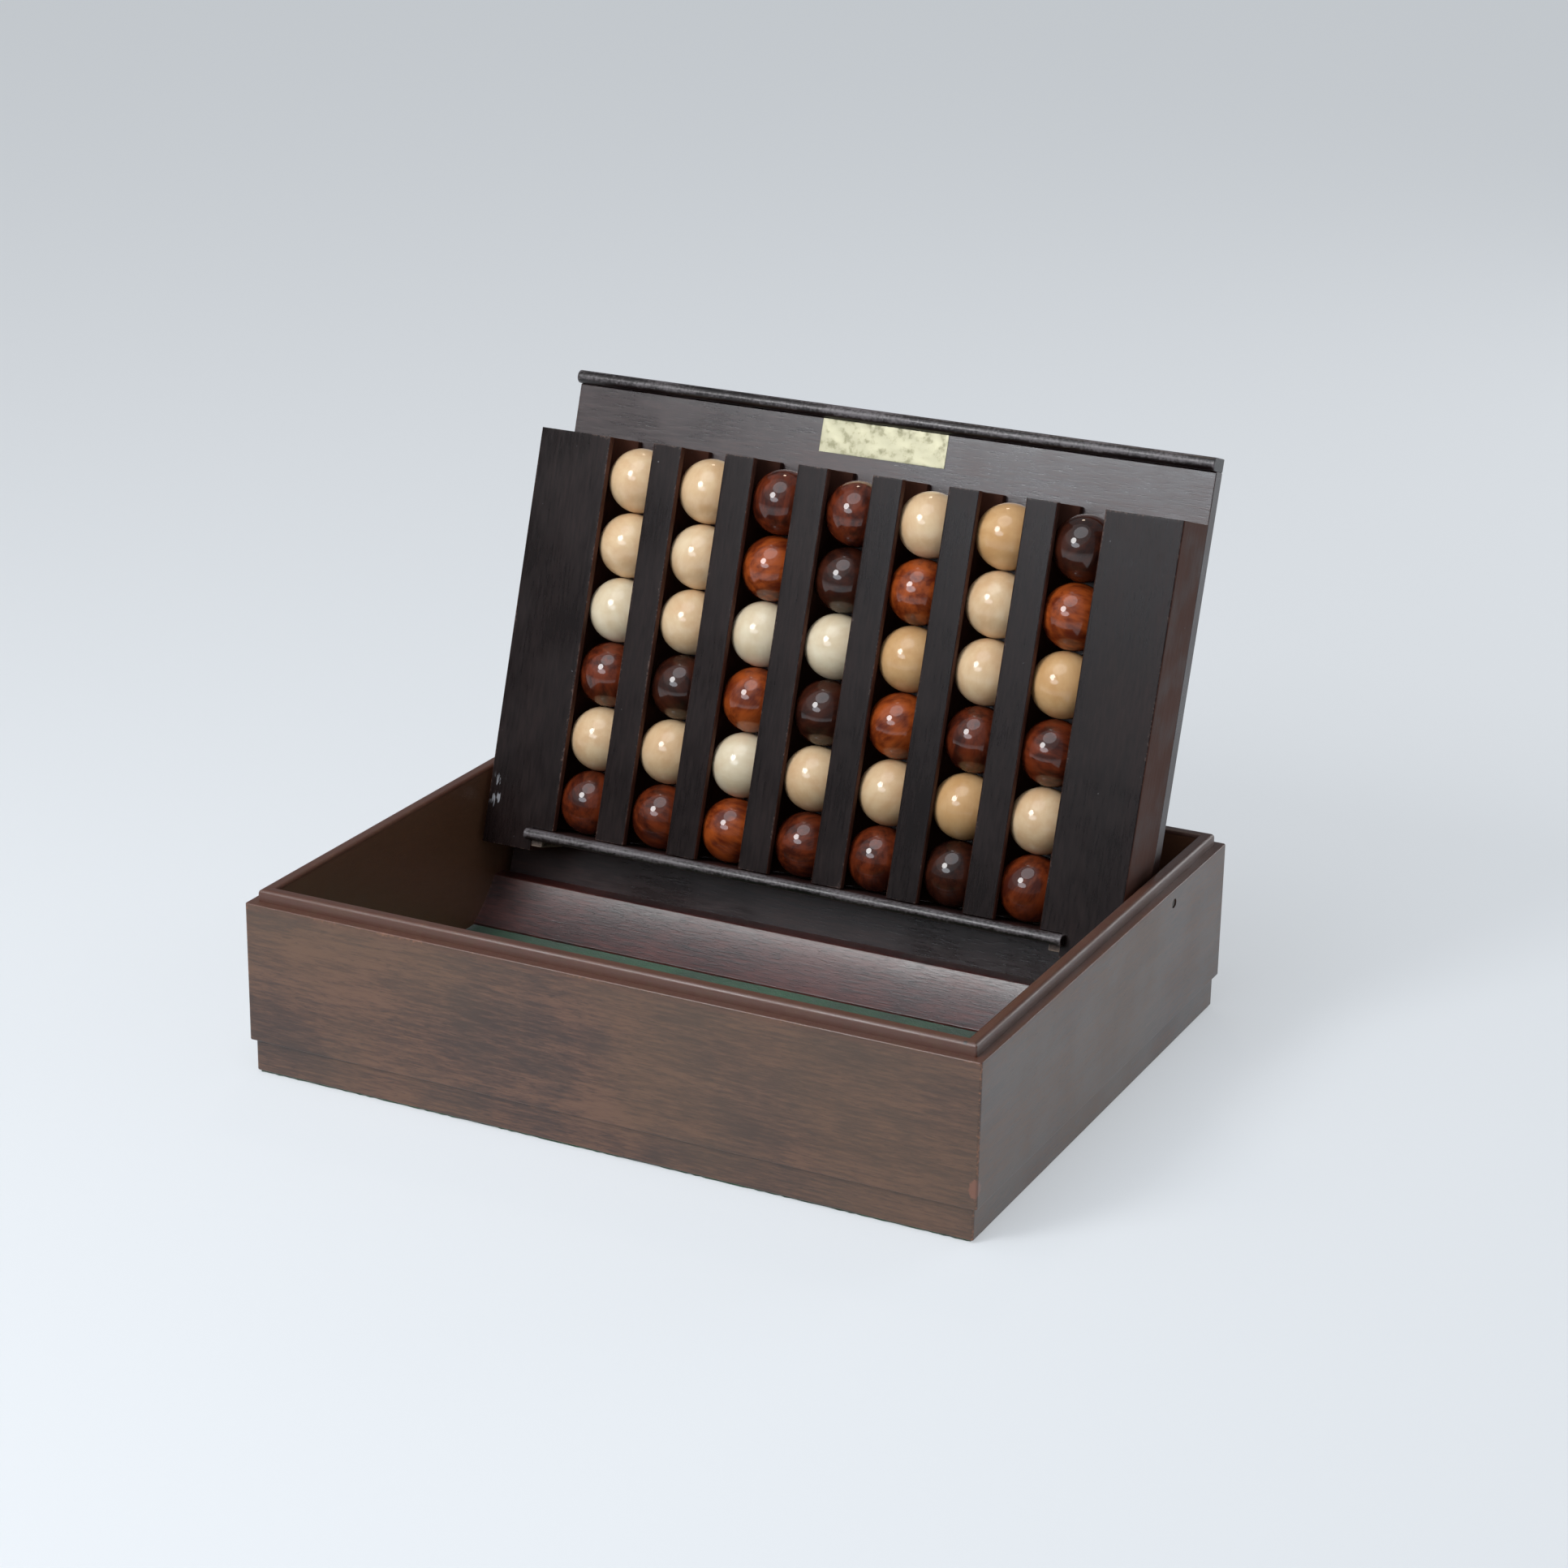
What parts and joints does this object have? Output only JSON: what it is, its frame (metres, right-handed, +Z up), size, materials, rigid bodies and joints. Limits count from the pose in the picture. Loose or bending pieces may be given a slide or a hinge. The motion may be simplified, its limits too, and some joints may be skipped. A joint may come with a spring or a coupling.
{
  "type": "four in a row ball game box",
  "caption": "Open stained-wood tray with a leaning rack of ball channels that folds down into it, a pull-out release shelf, a rounded ball ramp and light and dark wooden balls.",
  "frame": {"origin": "centre of the tray's underside, on the surface that it stands on", "axes": "+X to the right along the tray's length, -Y to the front, where the balls roll out, +Z up"},
  "size_m": [0.285, 0.2294, 0.2136],
  "materials": {
    "tray_wood": "brown stain under satin varnish, worn pale at the edges",
    "inner_wood": "dark stain, matt",
    "rack_wood": "near-black stain under satin varnish",
    "runner_wood": "brown stain, satin",
    "ramp_wood": "red-brown stain under gloss varnish",
    "ball_light": "clear gloss varnish",
    "ball_dark": "red-brown stain under clear gloss varnish",
    "baize": "short felted nap",
    "label_brass": "bare foil plate, slightly worn",
    "pin_steel": "dull steel"
  },
  "bodies": {
    "tray": {"front_wall": "tray_wood", "back_wall": "tray_wood", "left_wall": "tray_wood", "right_wall": "tray_wood", "base_panel": "inner_wood", "floor_baize": "baize", "underside_baize": "baize", "ball_ramp": "ramp_wood", "front_rest_rail": "inner_wood", "pivot_pin_left": "pin_steel", "pivot_pin_right": "pin_steel"},
    "rack": {"back_board": "rack_wood", "top_cap": "rack_wood", "end_block_left": "rack_wood", "end_block_right": "rack_wood", "divider_1": "rack_wood", "divider_2": "rack_wood", "divider_3": "rack_wood", "divider_4": "rack_wood", "divider_5": "rack_wood", "divider_6": "rack_wood", "runner_left": "runner_wood", "runner_right": "runner_wood", "label_plate": "label_brass"},
    "shelf": {"release_shelf": "rack_wood", "shelf_pull_strip": "rack_wood"},
    "balls_1": {"column_1_light": "ball_light", "column_1_dark": "ball_dark"},
    "balls_2": {"column_2_light": "ball_light", "column_2_dark": "ball_dark"},
    "balls_3": {"column_3_light": "ball_light", "column_3_dark": "ball_dark"},
    "balls_4": {"column_4_light": "ball_light", "column_4_dark": "ball_dark"},
    "balls_5": {"column_5_light": "ball_light", "column_5_dark": "ball_dark"},
    "balls_6": {"column_6_light": "ball_light", "column_6_dark": "ball_dark"},
    "balls_7": {"column_7_light": "ball_light", "column_7_dark": "ball_dark"}
  },
  "joints": [
    {"name": "rack_fold", "type": "hinge", "parent": "tray", "child": "rack", "pos_m": [0, 0.05949, 0.0604], "axis": [1, 0, 0], "range_deg": [0, 107.5]},
    {"name": "shelf_pull", "type": "slide", "parent": "rack", "child": "shelf", "axis": [0, -0.9537, 0.3007], "range_m": [0, 0.018]},
    {"name": "column_1_lift", "type": "slide", "parent": "rack", "child": "balls_1", "axis": [0, 0.3007, 0.9537], "range_m": [0, 0.018]},
    {"name": "column_2_lift", "type": "slide", "parent": "rack", "child": "balls_2", "axis": [0, 0.3007, 0.9537], "range_m": [0, 0.018]},
    {"name": "column_3_lift", "type": "slide", "parent": "rack", "child": "balls_3", "axis": [0, 0.3007, 0.9537], "range_m": [0, 0.018]},
    {"name": "column_4_lift", "type": "slide", "parent": "rack", "child": "balls_4", "axis": [0, 0.3007, 0.9537], "range_m": [0, 0.018]},
    {"name": "column_5_lift", "type": "slide", "parent": "rack", "child": "balls_5", "axis": [0, 0.3007, 0.9537], "range_m": [0, 0.018]},
    {"name": "column_6_lift", "type": "slide", "parent": "rack", "child": "balls_6", "axis": [0, 0.3007, 0.9537], "range_m": [0, 0.018]},
    {"name": "column_7_lift", "type": "slide", "parent": "rack", "child": "balls_7", "axis": [0, 0.3007, 0.9537], "range_m": [0, 0.018]}
  ]
}
